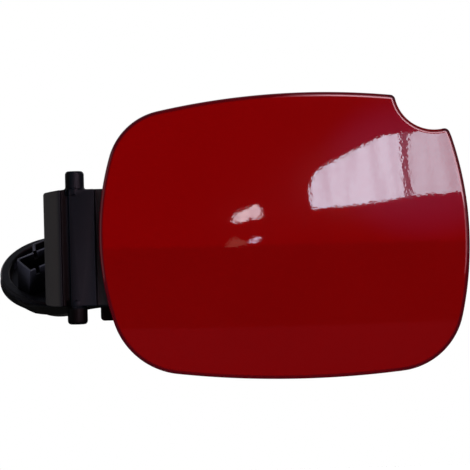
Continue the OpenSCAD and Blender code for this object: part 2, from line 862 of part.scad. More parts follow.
// Outline of the grip in the cap's plane, drawn smaller by the inset
module grip_plan(inset) {
    half = grip_half + 3;
    low = grip_w / 2;
    cut = 4.5;
    wing_foot = grip_half - 11;
    wing_top = wing_foot - 4.3;
    offset(delta = -inset) {
        polygon([
            [-half, -low], [half - cut, -low], [half, cut - low], [half, low], [cut - half, low],
            [-half, low - cut]
        ]);
        polygon([
            [-wing_foot, 0], [wing_foot, 0], [wing_foot, low], [wing_top, low + grip_wing],
            [-wing_top, low + grip_wing], [-wing_foot, low]
        ]);
    }
}

// Elevation of the grip: its ends lean outwards towards the dish
module grip_block(inset, floor) {
    foot = grip_half + 2.4 - inset;
    crest = grip_half - inset;
    intersection() {
        translate([0, 0, floor]) linear_extrude(grip_top + 1) grip_plan(inset);
        translate([0, grip_w, 0])
            rotate([90, 0, 0])
                linear_extrude(2 * grip_w)
                    polygon([
                        [-foot, cap_floor_z - cap_floor_t / 2], [foot, cap_floor_z - cap_floor_t / 2],
                        [crest, grip_top + inset], [-crest, grip_top + inset]
                    ]);
    }
}

// Moulded head of the cap: skirt with tether groove, dish and hollow grip
module cap_cover() {
    floor_low = cap_floor_z - cap_floor_t;
    notch_depth = 4;
    color("#1a1a1d")
        cap_frame() {
            rotate_extrude()
                polygon([
                    [0, floor_low], [cap_r - 3, floor_low], [cap_r - 0.6, floor_low + 0.4],
                    [cap_r, floor_low + 1],
                    [cap_r, groove_low - 0.6], [cap_r - 0.6, groove_low], [groove_r, groove_low],
                    [groove_r, groove_high], [collar_r, groove_high], [collar_r, cap_rim_h - 1],
                    [collar_r - 1, cap_rim_h], [cap_dish_r + 0.6, cap_rim_h],
                    [cap_dish_r, cap_rim_h - 0.6],
                    [cap_dish_r - 0.8, cap_floor_z], [0, cap_floor_z]
                ]);
            rotate([0, 0, grip_turn])
                difference() {
                    grip_block(0, cap_floor_z - cap_floor_t / 2);
                    difference() {
                        grip_block(grip_wall, cap_floor_z + 1.5);
                        translate([-grip_half, grip_w / 2 - grip_wall, 0])
                            cube([2 * grip_half, grip_wall, deep]);
                    }
                    for (side = [-1, 1]) {
                        translate([side * (grip_half - 5.1), -grip_w / 2, grip_top])
                            cube([2.6, grip_w, 2 * notch_depth], center = true);
                        translate([side * (grip_half - 12.1), (grip_w - grip_wall) / 2, grip_top])
                            cube([2.2, 2 * grip_wall, 2 * notch_depth], center = true);
                    }
                }
        }
}

// Plug of the cap: flange, skirt with two bayonet lugs and the valve's housing
module cap_core() {
    top = cap_floor_z - cap_floor_t;
    foot = -plug_len;
    wall = 2.5;
    housing_low = 1.5 - plug_len;
    lug_span = 44;
    color("#2a2a2e")
        cap_frame() {
            rotate_extrude()
                polygon([
                    [0, top], [core_flange_r, top], [core_flange_r, -core_flange_t],
                    [plug_r, -core_flange_t],
                    [plug_r, foot + 0.5], [plug_r - 0.5, foot], [plug_r - wall, foot],
                    [plug_r - wall, -core_flange_t],
                    [valve_body_r, -core_flange_t], [valve_body_r, housing_low],
                    [valve_bore_r, housing_low],
                    [valve_bore_r, top - roof_t], [0, top - roof_t]
                ]);
            for (turn = [0, 180])
                rotate([0, 0, turn])
                    sector(plug_r - 1, plug_r + lug_out, -lug_span / 2, lug_span / 2, foot + 1, foot + 4.5);
        }
}

module cap_gasket() {
    color("black")
        cap_frame()
            rotate_extrude()
                polygon([
                    [plug_r, -core_flange_t], [gasket_r, -core_flange_t],
                    [gasket_r, -core_flange_t - 0.45 * gasket_t],
                    [gasket_r - 1, -core_flange_t - gasket_t],
                    [gasket_r - 2.2, -core_flange_t - gasket_t],
                    [gasket_r - 3, -core_flange_t - 0.5 * gasket_t],
                    [plug_r, -core_flange_t - 0.5 * gasket_t]
                ]);
}

valve_low = 1.5 - plug_len;
seat_z = valve_low + retainer_t;

// Ring that holds the valve in its housing, with the seat of the seal
module valve_retainer() {
    color("ivory")
        cap_frame()
            rotate_extrude()
                polygon([
                    [4.5, valve_low], [valve_bore_r, valve_low], [valve_bore_r, seat_z - 0.4],
                    [6, seat_z - 0.4], [5.4, seat_z], [4.8, seat_z], [4.5, seat_z - 0.3]
                ]);
}

module valve_seal() {
    color("black") cap_frame() translate([0, 0, seat_z]) cylinder(h = seal_t, r = 6);
}

module valve_plate() {
    low = seat_z + seal_t;
    color("ivory")
        cap_frame()
            rotate_extrude()
                polygon([
                    [0, low], [6.6, low], [6.6, low + plate_t], [2.6, low + plate_t],
                    [2.6, low + plate_t + 1.6],
                    [2.1, low + plate_t + 2], [0, low + plate_t + 2]
                ]);
}

// Coil spring between the valve plate and the roof of its housing
module valve_spring() {
    wire_r = 0.35;
    coil_r = 3.8;
    turns = 4;
    steps = 16;
    sides = 6;
    low = seat_z + seal_t + plate_t + wire_r;
    high = cap_floor_z - cap_floor_t - roof_t - wire_r;
    last = turns * steps;
    rings = [
        for (k = [0:last])
            let (a = 360 * k / steps, z = low + (high - low) * k / last)
            for (j = [0:sides - 1])
                let (b = 360 * j / sides, r = coil_r + wire_r * cos(b))
                [r * cos(a), r * sin(a), z + wire_r * sin(b)]
    ];
    walls = [
        for (k = [0:last - 1])
            for (j = [0:sides - 1])
                let (n = (j + 1) % sides)
                [k * sides + j, (k + 1) * sides + j, (k + 1) * sides + n, k * sides + n]
    ];
    start = [for (j = [0:sides - 1]) j];
    finish = [for (j = [0:sides - 1]) last * sides + sides - 1 - j];
    color("silver")
        cap_frame() polyhedron(points = rings, faces = concat([start], walls, [finish]));
}

outer_panel();
inner_frame();
hinge_arm();
for (i = [1:4])
    frame_screw(i);
for (i = [1:2])
    arm_screw(i);
lock_striker();
for (i = [1:2])
    striker_rivet(i);
bump_stop(1);  // bump_stop_upper
bump_stop(-1);  // bump_stop_lower
tether_peg();
tether();
cap_cover();
cap_core();
cap_gasket();
valve_retainer();
valve_plate();
valve_seal();
valve_spring();
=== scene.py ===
# %% [markdown]
# # A car fuel door
#
# The CAD model already fixes every size and every joint. This lesson gives it the looks of the real
# door: red paint over a domed skin, black mouldings with softened edges, and the small metal and
# rubber fittings behind. Every piece is built in metres in the frame of the CAD model, where X runs
# along the door, Y runs inwards and Z runs up the hinge axis.

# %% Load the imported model
import json
import math

import bmesh
import bpy
from mathutils import Matrix, Vector

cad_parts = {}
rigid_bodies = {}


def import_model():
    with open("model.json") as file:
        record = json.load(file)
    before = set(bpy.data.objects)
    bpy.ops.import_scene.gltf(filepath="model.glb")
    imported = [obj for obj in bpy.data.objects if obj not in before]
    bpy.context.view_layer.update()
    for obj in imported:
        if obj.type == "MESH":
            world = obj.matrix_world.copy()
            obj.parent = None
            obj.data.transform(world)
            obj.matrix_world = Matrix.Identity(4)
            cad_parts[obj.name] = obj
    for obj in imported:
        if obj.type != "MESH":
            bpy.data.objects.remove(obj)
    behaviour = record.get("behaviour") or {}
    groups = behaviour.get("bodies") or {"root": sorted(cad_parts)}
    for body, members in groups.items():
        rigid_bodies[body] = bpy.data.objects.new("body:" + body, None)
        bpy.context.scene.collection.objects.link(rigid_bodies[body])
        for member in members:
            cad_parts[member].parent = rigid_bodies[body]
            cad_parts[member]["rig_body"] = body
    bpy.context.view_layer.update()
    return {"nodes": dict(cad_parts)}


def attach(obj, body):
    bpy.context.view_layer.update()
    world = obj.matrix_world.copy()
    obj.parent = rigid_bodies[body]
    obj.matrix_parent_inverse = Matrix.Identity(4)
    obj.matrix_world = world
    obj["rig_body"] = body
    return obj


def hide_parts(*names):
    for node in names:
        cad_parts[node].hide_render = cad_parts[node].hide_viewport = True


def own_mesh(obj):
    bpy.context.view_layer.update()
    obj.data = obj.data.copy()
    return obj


for leftover in list(bpy.data.objects):
    bpy.data.objects.remove(leftover)

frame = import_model()

# %% [markdown]
# ## The camera
#
# The door is seen from about 0.9 m, slightly left of its middle and a touch tilted. A long lens
# keeps the panel's outline undistorted. The camera's turn is written as three directions, its
# right, its up and its back, because that says more than three angles would.

# %% Set the camera
CAMERA_RIGHT = Vector((0.9997, 0.0, -0.0249))
CAMERA_UP = Vector((0.0249, 0.0, 0.9997))
CAMERA_BACK = CAMERA_RIGHT.cross(CAMERA_UP)
CAMERA_PLACE = Vector((0.0826, -0.910, 0.03934))
SENSOR_MM = 36.0
LENS_MM = 134.3


def turn_from(right, up, back):
    """Rotation whose columns are the three directions."""
    return Matrix((right, up, back)).transposed().to_4x4()


camera_data = bpy.data.cameras.new("photo camera")
camera_data.sensor_width = SENSOR_MM
camera_data.lens = LENS_MM
camera_data.clip_start = 0.01
camera = bpy.data.objects.new("photo_camera", camera_data)
camera.matrix_world = Matrix.Translation(CAMERA_PLACE) @ turn_from(CAMERA_RIGHT, CAMERA_UP, CAMERA_BACK)
bpy.context.scene.collection.objects.link(camera)
bpy.context.scene.camera = camera
bpy.context.scene.view_settings.view_transform = "Standard"
print("camera stands", round(-CAMERA_PLACE.y * 1000), "mm in front of the hinge axis")

# %% [markdown]
# ## A short way to write shaders
#
# A procedural material is arithmetic on noise. Wiring each Math node by hand hides that arithmetic,
# so the class below wraps an output socket: adding or multiplying two wires places the Math node.
# The reflected forms let a plain number stand on the left, as in 1 - mask.

# %% Wires
class Wire:
    """An output socket on which arithmetic places Math nodes."""

    def __init__(self, finish, socket):
        self.finish = finish
        self.socket = socket

    def math(self, operation, first, second):
        return self.finish.node("ShaderNodeMath", {"operation": operation}, {0: first, 1: second})

    def __add__(self, other):
        return self.math("ADD", self, other)

    def __radd__(self, other):
        return self.math("ADD", other, self)

    def __sub__(self, other):
        return self.math("SUBTRACT", self, other)

    def __rsub__(self, other):
        return self.math("SUBTRACT", other, self)

    def __mul__(self, other):
        return self.math("MULTIPLY", self, other)

    def __rmul__(self, other):
        return self.math("MULTIPLY", other, self)


print("wires add, subtract and multiply")

# %% [markdown]
# ## One material
#
# The next class holds one material round its Principled shader. Numbers that are the same all over
# go straight on the shader's sockets, and only what varies over the surface is wired. Every other
# node comes from one method, which takes the node's type, its settings and its sockets.

# %% Finishes
class Finish:
    """One material around a Principled shader."""

    def __init__(self, name, **numbers):
        self.material = bpy.data.materials.new(name)
        self.material.use_nodes = True
        self.tree = self.material.node_tree
        self.shader = self.tree.nodes["Principled BSDF"]
        for label, value in numbers.items():
            self.shader.inputs[label.replace("_", " ")].default_value = value

    def node(self, kind, settings=None, sockets=None, out=0):
        """Places a node: its settings first, then the values or wires of its sockets."""
        made = self.tree.nodes.new(kind)
        for label, value in (settings or {}).items():
            setattr(made, label, value)
        for label, value in (sockets or {}).items():
            if isinstance(value, Wire):
                self.tree.links.new(value.socket, made.inputs[label])
            else:
                made.inputs[label].default_value = value
        return Wire(self, made.outputs[out])

    def feed(self, label, wire):
        """Wires something that varies into the Principled shader."""
        self.tree.links.new(wire.socket, self.shader.inputs[label])


print("finishes take numbers and wires")

# %% [markdown]
# ## Patterns on a piece
#
# A finish needs to know where on the piece it is. Object coordinates tell it in metres and stay
# with the piece when it moves, so a grain keeps its true size. Soft noise gives drifts, clouds and
# grain, and Pointiness finds the edges, where the mesh turns outwards.

# %% Read the surface
def object_place(finish):
    """Object coordinates, in metres."""
    return finish.node("ShaderNodeTexCoord", out="Object")


def along(finish, axis):
    """The place on the piece along one axis, in metres."""
    return finish.node("ShaderNodeSeparateXYZ", sockets={"Vector": object_place(finish)}, out=axis)


def blotches(finish, size, detail=2.0, stretch=(1.0, 1.0, 1.0)):
    """Soft noise from 0 to 1 whose blotches are about size metres across."""
    place = finish.node(
        "ShaderNodeMapping",
        sockets={"Vector": object_place(finish), "Scale": tuple(s / size for s in stretch)},
    )
    return finish.node("ShaderNodeTexNoise", sockets={"Vector": place, "Scale": 1.0, "Detail": detail})


def ramp(wire, low, high):
    """0 below low, 1 above high and smooth between."""
    return wire.finish.node(
        "ShaderNodeMapRange",
        {"interpolation_type": "SMOOTHSTEP", "clamp": True},
        {"Value": wire, "From Min": low, "From Max": high},
    )


def convex(finish, low, high):
    """0 on flat skin and 1 where the mesh turns outwards."""
    return ramp(finish.node("ShaderNodeNewGeometry", out="Pointiness"), low, high)


print("a piece can be read by place, noise and edge")


# %% Mix colours and stack bumps
def between(dark, light, factor):
    """A colour that goes from dark to light with the factor; either may be a wire."""
    ends = [end if isinstance(end, Wire) else (*end, 1.0) for end in (dark, light)]
    return factor.finish.node(
        "ShaderNodeMix",
        {"data_type": "RGBA", "clamp_factor": True},
        {0: factor, 6: ends[0], 7: ends[1]},
        out=2,
    )


def relief(finish, *layers):
    """Bump layers, each a height wire and the depth in metres that 0 to 1 stands for."""
    normal = None
    for height, depth in layers:
        sockets = {"Strength": 1.0, "Distance": depth, "Height": height}
        if normal is not None:
            sockets["Normal"] = normal
        normal = finish.node("ShaderNodeBump", sockets=sockets)
    finish.feed("Normal", normal)


print("colours mix and bumps stack")

# %% [markdown]
# ## Red body paint
#
# The door is solid red under a glossy clear coat: a deep diffuse colour, a sharp mirror, and a
# faint broad haze round every bright reflection. Sprayed paint is never flat. Orange peel, some
# millimetres across and a few thousandths of a millimetre high, frays the edges of a reflection, so
# two bump layers of that true height do it here. The mirror sits on the base layer, which follows
# the bump, and the haze on the coat. The rolled edge is painted darker than the rest, as painted
# shade where it turns away from the light, and Pointiness finds it.

# %% Mix the paint
PAINT_DEEP = (0.170, 0.0002, 0.0004)
PAINT_BRIGHT = (0.187, 0.0005, 0.0008)
PAINT_EDGE_SHADE = (0.04, 0.002, 0.006)
WAVE_SIZE, WAVE_HEIGHT = 0.0045, 3e-6
PEEL_SIZE, PEEL_HEIGHT = 0.0016, 6.5e-6


def red_paint():
    finish = Finish(
        "red body paint", IOR=1.5, Specular_IOR_Level=0.5,
        Coat_Weight=0.03, Coat_IOR=1.5, Coat_Roughness=0.17,
    )
    body = between(PAINT_DEEP, PAINT_BRIGHT, blotches(finish, 0.045, 3.0))
    # Painted shade: the convex rolled edge is darkened to a deep purple-red.
    finish.feed("Base Color", between(body, PAINT_EDGE_SHADE, convex(finish, 0.506, 0.522)))
    finish.feed("Roughness", 0.014 + blotches(finish, 0.02, 4.0) * 0.01)
    waves = blotches(finish, WAVE_SIZE, 1.0)
    peel = blotches(finish, PEEL_SIZE, 1.0)
    relief(finish, (waves, WAVE_HEIGHT), (peel, PEEL_HEIGHT))
    return finish.material


print("orange peel", PEEL_SIZE * 1000, "mm across and", PEEL_HEIGHT * 1e6, "thousandths of a mm high")

# %% [markdown]
# ## Black mouldings
#
# The arm, the frame, the cap and the tether are all black plastic, yet none is quite alike. Each
# has a spark-eroded grain of about a third of a millimetre, faint flow marks, and edges that have
# been rubbed a little paler; on the cap these edges are painted far paler still, as painted glints.
# One recipe with a few numbers gives the whole family.
#
# The arm has more to tell, and here light and shade are painted into its colour: its hood, which
# faces the light, is painted a lighter warm grey, the groove beside it gets painted shade, the
# darkest, the neck is painted paler again, and the foot below gets painted shade, nearly black. So
# four bands of painted light and shade are laid over the recipe. Each has an axis, a start and an
# end along it in metres, a soft border and a colour.

# %% Mix the black plastics
GRAIN = 0.00035
# Painted light and shade on the arm: the hood and the neck painted lighter, the groove and the foot painted
# darker.
HOOD_PAINTED_LIGHT = (0, -0.05, -0.0082, 0.0016, (0.0200, 0.0182, 0.0188))
GROOVE_PAINTED_SHADE = (0, -0.0072, -0.0021, 0.0009, (0.0003, 0.0003, 0.0004))
NECK_PAINTED_LIGHT = (0, 0.0112, 0.2, 0.0004, (0.0110, 0.0105, 0.0125))
FOOT_PAINTED_SHADE = (2, -0.1, 0.0033, 0.0008, (0.0005, 0.0006, 0.0009))


def black_plastic(name, tone, sheen, grain_depth, tint=(1.0, 1.0, 1.0), wear_and_glint=1.9, gloss=0.22,
                  rub_and_glint=(0.53, 0.62), light_and_shade_bands=()):
    """A black moulding: convex edges a little paler from rubbing, on the cap far paler as painted glints,
    and bands of painted light and shade.
    """
    finish = Finish(name, Specular_IOR_Level=gloss)
    flow = blotches(finish, 0.028, 4.0, (1.0, 1.0, 0.45))
    speck = blotches(finish, GRAIN, 2.0)
    dark, light, worn_and_glint = (tuple(tone * step * c for c in tint) for step in (0.78, 1.25, wear_and_glint))
    body = between(dark, light, flow * 0.75 + speck * 0.25)
    # Each band lays painted light or painted shade over a stretch of the moulding.
    for axis, start, end, soft, colour in light_and_shade_bands:
        inside = ramp(along(finish, axis), start - soft, start + soft)
        beyond = ramp(along(finish, axis), end - soft, end + soft)
        body = between(body, colour, (inside - beyond) * (0.85 + speck * 0.3))
    # Convex edges go paler: rubbed wear, and on the cap painted glints.
    finish.feed("Base Color", between(body, worn_and_glint, convex(finish, *rub_and_glint) * 0.6))
    finish.feed("Roughness", sheen - 0.05 + flow * 0.1 + speck * 0.06)
    relief(finish, (flow, 6e-5), (speck, grain_depth))
    return finish.material


print("grain", GRAIN * 1000, "mm across")

# %% [markdown]
# ## Rubber and pale plastic
#
# The buffers and seals are matt rubber with a dusty bloom and fine pores. The cap's valve parts are
# a pale, slightly cloudy moulding.

# %% Mix the rubber and the pale plastic
def soft_rubber():
    finish = Finish("matt rubber", IOR=1.45)
    bloom = blotches(finish, 0.006, 5.0)
    pores = blotches(finish, 0.0005, 2.0)
    finish.feed("Base Color", between((0.008, 0.008, 0.008), (0.022, 0.021, 0.02), bloom))
    finish.feed("Roughness", 0.68 + bloom * 0.2)
    relief(finish, (pores, 2.5e-5))
    return finish.material


def pale_moulding():
    finish = Finish("pale moulding", IOR=1.5)
    cloud = blotches(finish, 0.008, 3.0)
    finish.feed("Base Color", between((0.66, 0.63, 0.54), (0.78, 0.76, 0.69), cloud))
    finish.feed("Roughness", 0.38 + cloud * 0.12)
    relief(finish, (cloud, 2e-5))
    return finish.material


print("rubber and pale plastic have recipes")

# %% [markdown]
# ## Plated steel and spring wire
#
# The screws, rivets and striker are zinc plated: metal whose colour and gloss drift in small
# crystals, for which a Voronoi pattern of about a millimetre is close. The spring is drawn wire,
# brighter and streaked.

# %% Mix the metals
def plated_steel():
    finish = Finish("zinc plated steel", Metallic=1.0)
    crystals = finish.node("ShaderNodeTexVoronoi", sockets={"Vector": object_place(finish), "Scale": 900.0})
    shade = crystals * 0.4 + blotches(finish, 0.004, 4.0) * 0.6
    finish.feed("Base Color", between((0.42, 0.42, 0.43), (0.64, 0.64, 0.63), shade))
    finish.feed("Roughness", 0.24 + shade * 0.2)
    relief(finish, (crystals, 1.2e-5))
    return finish.material


def spring_wire():
    finish = Finish("drawn spring wire", Metallic=1.0)
    streaks = blotches(finish, 0.0006, 3.0)
    finish.feed("Base Color", between((0.4, 0.4, 0.42), (0.6, 0.6, 0.62), streaks))
    finish.feed("Roughness", 0.2 + streaks * 0.2)
    relief(finish, (streaks, 8e-6))
    return finish.material


FINISHES = {
    "body_paint": red_paint(),
    "frame_plastic": black_plastic("ribbed frame plastic", 0.012, 0.5, 2.6e-5),
    "arm_plastic": black_plastic(
        # Painted light: the arm's blue tint stands in for the cool light on its flat face.
        "hinge arm plastic", 0.0024, 0.46, 3.2e-5, tint=(0.4, 1.25, 2.4), gloss=0.1,
        light_and_shade_bands=(HOOD_PAINTED_LIGHT, GROOVE_PAINTED_SHADE, NECK_PAINTED_LIGHT, FOOT_PAINTED_SHADE),
    ),
    "tether_plastic": black_plastic("tether plastic", 0.003, 0.42, 1.2e-5),
    # The cap's edges are painted far paler than rubbing would make them: painted glints on the grip.
    "cap_plastic": black_plastic(
        "cap plastic", 0.0022, 0.3, 1.4e-5, tint=(0.9, 0.9, 1.4), wear_and_glint=22.0, rub_and_glint=(0.522, 0.565),
    ),
    "core_plastic": black_plastic("cap plug plastic", 0.009, 0.42, 1.2e-5),
    "pale_plastic": pale_moulding(),
    "rubber": soft_rubber(),
    "zinc_steel": plated_steel(),
    "spring_steel": spring_wire(),
}
print("finishes:", ", ".join(FINISHES))

# %% [markdown]
# ## From mesh to piece
#
# Every piece ends the same way: its mesh becomes an object at the origin, gets its finish, smooth
# shading that breaks at sharp edges and the CAD body it rides on, and the CAD node that it stands
# for is hidden.

# %% Finish a piece
SHARP = math.radians(32)


def piece_from(bm, name, slot, node):
    """Turns a bmesh into a piece that stands for the node and moves with its body."""
    mesh = bpy.data.meshes.new(name)
    bm.to_mesh(mesh)
    bm.free()
    mesh.shade_smooth()
    mesh.set_sharp_from_angle(angle=SHARP)
    mesh.materials.append(FINISHES[slot])
    piece = bpy.data.objects.new(name, mesh)
    bpy.context.scene.collection.objects.link(piece)
    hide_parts(node)
    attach(piece, frame["nodes"][node]["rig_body"])
    return piece


def tell(piece):
    """Prints a piece's size and how many faces it has."""
    low, high = zip(*((min(c), max(c)) for c in zip(*(v.co for v in piece.data.vertices))))
    size = " x ".join(f"{(b - a) * 1000:.1f}" for a, b in zip(low, high))
    print(f"{piece.name}: {size} mm, {len(piece.data.polygons)} faces")


print(f"edges over {math.degrees(SHARP):.0f} degrees stay sharp")

# %% [markdown]
# ## The outline of the painted panel
#
# The outline is a closed chain of arcs: four corners joined by long shallow bows, broken at the
# upper right by the finger notch with its two small roundings. The numbers are those of the CAD
# model, only the two small roundings are a little larger, so that the rolled edge can follow them.
# Where one arc hands over to the next follows from the centres: two arcs that meet smoothly have
# their handover on the line through both centres.

# %% Measure the outline
MM = 0.001
PANEL_LEFT, PANEL_RIGHT = 12.7, 203.1
PANEL_BOTTOM, PANEL_TOP = -35.5, 112.0
CORNERS = (
    (PANEL_RIGHT - 38.6, PANEL_TOP - 35.0, 32.5),
    (PANEL_LEFT + 37.8, PANEL_TOP - 40.3, 33.1),
    (PANEL_LEFT + 43.5, PANEL_BOTTOM + 42.2, 38.6),
    (PANEL_RIGHT - 39.1, PANEL_BOTTOM + 38.2, 35.6),
)
BOWS = (392.0, 148.0, 515.0, 182.0)
NOTCH = (PANEL_RIGHT - 16.4, PANEL_TOP - 0.6, 20.2)
NOTCH_ROUNDING = 2.9
print(f"panel {PANEL_RIGHT - PANEL_LEFT:.1f} x {PANEL_TOP - PANEL_BOTTOM:.1f} mm")


# %% Find the arcs
def meet(ax, az, ar, bx, bz, br, side):
    """One of the two places that lie ar from a and br from b."""
    gap = math.hypot(bx - ax, bz - az)
    ahead = (ar * ar - br * br + gap * gap) / (2 * gap)
    aside = side * math.sqrt(ar * ar - ahead * ahead)
    ux, uz = (bx - ax) / gap, (bz - az) / gap
    return ax + ux * ahead - uz * aside, az + uz * ahead + ux * aside


def heading(a, b):
    """The direction from a to b in degrees."""
    return math.degrees(math.atan2(b[1] - a[1], b[0] - a[0]))


def bow_centres():
    """Each bow touches its two corners from outside, which fixes its centre."""
    centres = []
    for k in range(4):
        a, b, r = CORNERS[k], CORNERS[(k + 1) % 4], BOWS[k]
        centres.append(meet(a[0], a[1], r - a[2], b[0], b[1], r - b[2], 1))
    return centres


def outline_arcs():
    """The arcs of the outline as (centre x, centre z, radius, start angle, sweep)."""
    bow_at = bow_centres()
    reach = NOTCH[2] + NOTCH_ROUNDING
    x, z, r = CORNERS[0]
    top = meet(*bow_at[0], BOWS[0] - NOTCH_ROUNDING, NOTCH[0], NOTCH[1], reach, 1)
    side = meet(x, z, r - NOTCH_ROUNDING, NOTCH[0], NOTCH[1], reach, -1)
    arcs = []
    for k in range(4):
        start = heading(bow_at[0], top) if k == 0 else heading(bow_at[k], CORNERS[k])
        end = heading(bow_at[k], CORNERS[(k + 1) % 4])
        arcs.append((*bow_at[k], BOWS[k], start, (end - start) % 360))
        corner = CORNERS[(k + 1) % 4]
        stop = heading(corner, side) if k == 3 else heading(bow_at[(k + 1) % 4], corner)
        arcs.append((*corner, end, (stop - end) % 360))
    to_notch = heading(side, NOTCH)
    from_notch = heading(top, NOTCH)
    arcs.append((*side, NOTCH_ROUNDING, stop, (to_notch - stop) % 360))
    arcs.append((*NOTCH, to_notch - 180, -((to_notch - from_notch) % 360)))
    arcs.append((*top, NOTCH_ROUNDING, from_notch, (arcs[0][3] - from_notch) % 360))
    return arcs


ARCS = outline_arcs()
print(f"{len(ARCS)} arcs; widest bow {max(a[2] for a in ARCS):.0f} mm")

# %% [markdown]
# ## Drawing with one vertex
#
# The points of the outline could be worked out in Python, but the spin operator already does that.
# A lone vertex that is spun about each centre in turn leaves the whole outline behind it, and one
# operator fills it. It is drawn a tenth of a millimetre inside the CAD outline, so that nothing of
# the dressed skin stands proud of the CAD box.

# %% Draw the outline
FILM = 0.1
ARC_STEP, FEWEST_STEPS = 1.6, 6


def outline_wire(bm, arcs, film):
    """Spins one vertex along the arcs, a film inside them, and closes the chain into one face."""
    x, z, r, start, _ = arcs[0]
    r = r - film
    first = bm.verts.new(((x + r * math.cos(math.radians(start))) * MM, 0.0,
                          (z + r * math.sin(math.radians(start))) * MM))
    vertex = first
    for x, z, r, start, sweep in arcs:
        steps = max(FEWEST_STEPS, math.ceil(abs(sweep) * math.radians(r) / ARC_STEP))
        spun = bmesh.ops.spin(
            bm, geom=[vertex], cent=(x * MM, 0.0, z * MM), axis=(0.0, -1.0, 0.0),
            dvec=(0.0, 0.0, 0.0), angle=math.radians(sweep), steps=steps,
            use_merge=False, use_normal_flip=False, use_duplicate=False,
        )
        vertex = [v for v in spun["geom_last"] if isinstance(v, bmesh.types.BMVert)][0]
    miss = (vertex.co - first.co).length
    bmesh.ops.remove_doubles(bm, verts=bm.verts[:], dist=1e-6)
    bmesh.ops.edgeloop_fill(bm, edges=bm.edges[:])
    print(f"outline of {len(bm.edges)} edges closes within {miss * 1e6:.2f} thousandths of a mm")


skin = bmesh.new()
outline_wire(skin, ARCS, FILM)

# %% [markdown]
# ## The painted skin, first as a flat slab
#
# The real skin is one thin shell with a return edge all round and a rolled front edge. It could be
# modelled as a grid that is pushed into shape, but the outline would then be ragged. It is cleaner
# to work flat first and to bend everything at the very end: extrude the outline into a slab, inset
# its back and push the middle forward into a pocket. A ring is inset round the front, too, which
# leaves room for the rolled edge.

# %% Raise the slab
SKIN_T, RIM_DEPTH, RIM_T = 2.5, 7.5, 1.75
FLAT_RING = 2.5


def face_of(made):
    """The face among what an operator has made."""
    return [g for g in made["geom"] if isinstance(g, bmesh.types.BMFace)][0]


def slab_with_pocket(bm):
    """Makes the flat outline a slab with a pocket in its back and a ring round its front."""
    front = bm.faces[:][0]
    back = face_of(bmesh.ops.extrude_face_region(bm, geom=[front], use_keep_orig=True))
    bmesh.ops.translate(bm, verts=back.verts[:], vec=(0.0, RIM_DEPTH * MM, 0.0))
    bmesh.ops.inset_region(bm, faces=[back], thickness=RIM_T * MM, use_even_offset=True)
    floor = face_of(bmesh.ops.extrude_face_region(bm, geom=[back]))
    bmesh.ops.delete(bm, geom=[back], context="FACES_ONLY")
    bmesh.ops.translate(bm, verts=floor.verts[:], vec=(0.0, (SKIN_T - RIM_DEPTH) * MM, 0.0))
    bmesh.ops.inset_region(bm, faces=[front], thickness=FLAT_RING * MM, use_even_offset=True)
    print(f"slab {RIM_DEPTH} mm deep with a pocket of {RIM_DEPTH - SKIN_T} mm")


slab_with_pocket(skin)

# %% [markdown]
# ## Rolling the edges
#
# The front edge is rolled over a wide radius and catches a line of light all round. The back edge
# is only broken. Both are edges at one depth where the mesh turns a corner, so one function finds
# them by depth and bevels them.

# %% Roll the edges
ROLLED_EDGE, ROLLED_SEGMENTS = 2.2, 7
BROKEN_EDGE, BROKEN_SEGMENTS = 0.35, 2


def at_depth(thing, y):
    """Whether every corner of an edge or a face lies at one depth."""
    return all(abs(v.co.y - y) < 1e-7 for v in thing.verts)


def roll_edges(bm, depth, rounding, segments):
    """Bevels the edges at a depth in millimetres at which some face leaves that depth."""
    y = depth * MM
    edges = [e for e in bm.edges if at_depth(e, y) and any(not at_depth(f, y) for f in e.link_faces)]
    bmesh.ops.bevel(
        bm, geom=edges, offset=rounding * MM, offset_type="OFFSET", segments=segments, profile=0.5,
        affect="EDGES", material=-1, clamp_overlap=False,
    )
    print(f"{len(edges)} edges rolled by {rounding} mm")


roll_edges(skin, 0.0, ROLLED_EDGE, ROLLED_SEGMENTS)
roll_edges(skin, RIM_DEPTH, BROKEN_EDGE, BROKEN_SEGMENTS)

# %% [markdown]
# ## Slicing a grid
#
# A dome bends only where there are vertices. Planes slice the two broad faces, the front and the
# pocket's floor, into a fine grid. Only the faces that a plane crosses are handed to the operator,
# which keeps it fast. The grid starts part of a step inside the panel's edge, so that no plane
# grazes it.

# %% Slice the broad faces
GRID = 2.0
GRID_START_X, GRID_START_Z = 0.63, 0.59


def slice_faces(bm, faces, axis, places):
    """Cuts some faces, and what they have become, at planes across an axis."""
    normal = Vector((0.0, 0.0, 0.0))
    normal[axis] = 1.0
    for place in places:
        crossed = []
        rest = []
        for face in faces:
            reach = [v.co[axis] for v in face.verts]
            if min(reach) < place < max(reach):
                crossed.append(face)
            else:
                rest.append(face)
        if not crossed:
            continue
        edges = {e for f in crossed for e in f.edges}
        verts = {v for f in crossed for v in f.verts}
        cut = bmesh.ops.bisect_plane(
            bm, geom=crossed + list(edges) + list(verts), dist=1e-7, plane_co=normal * place,
            plane_no=normal, use_snap_center=False, clear_outer=False, clear_inner=False,
        )
        faces = rest + [g for g in cut["geom"] if isinstance(g, bmesh.types.BMFace)]
    return faces


def grid_over(bm, faces):
    """Slices flat faces into a fine grid, first along X and then along Z."""
    columns = math.ceil((PANEL_RIGHT - PANEL_LEFT) / GRID)
    rows = math.ceil((PANEL_TOP - PANEL_BOTTOM) / GRID)
    places_x = [(PANEL_LEFT + GRID * (k + GRID_START_X)) * MM for k in range(columns)]
    places_z = [(PANEL_BOTTOM + GRID * (k + GRID_START_Z)) * MM for k in range(rows)]
    faces = slice_faces(bm, faces, 0, places_x)
    faces = slice_faces(bm, faces, 2, places_z)
    print(f"{columns} by {rows} planes leave {len(faces)} faces")


grid_over(skin, sorted(skin.faces, key=bmesh.types.BMFace.calc_area)[-2:])

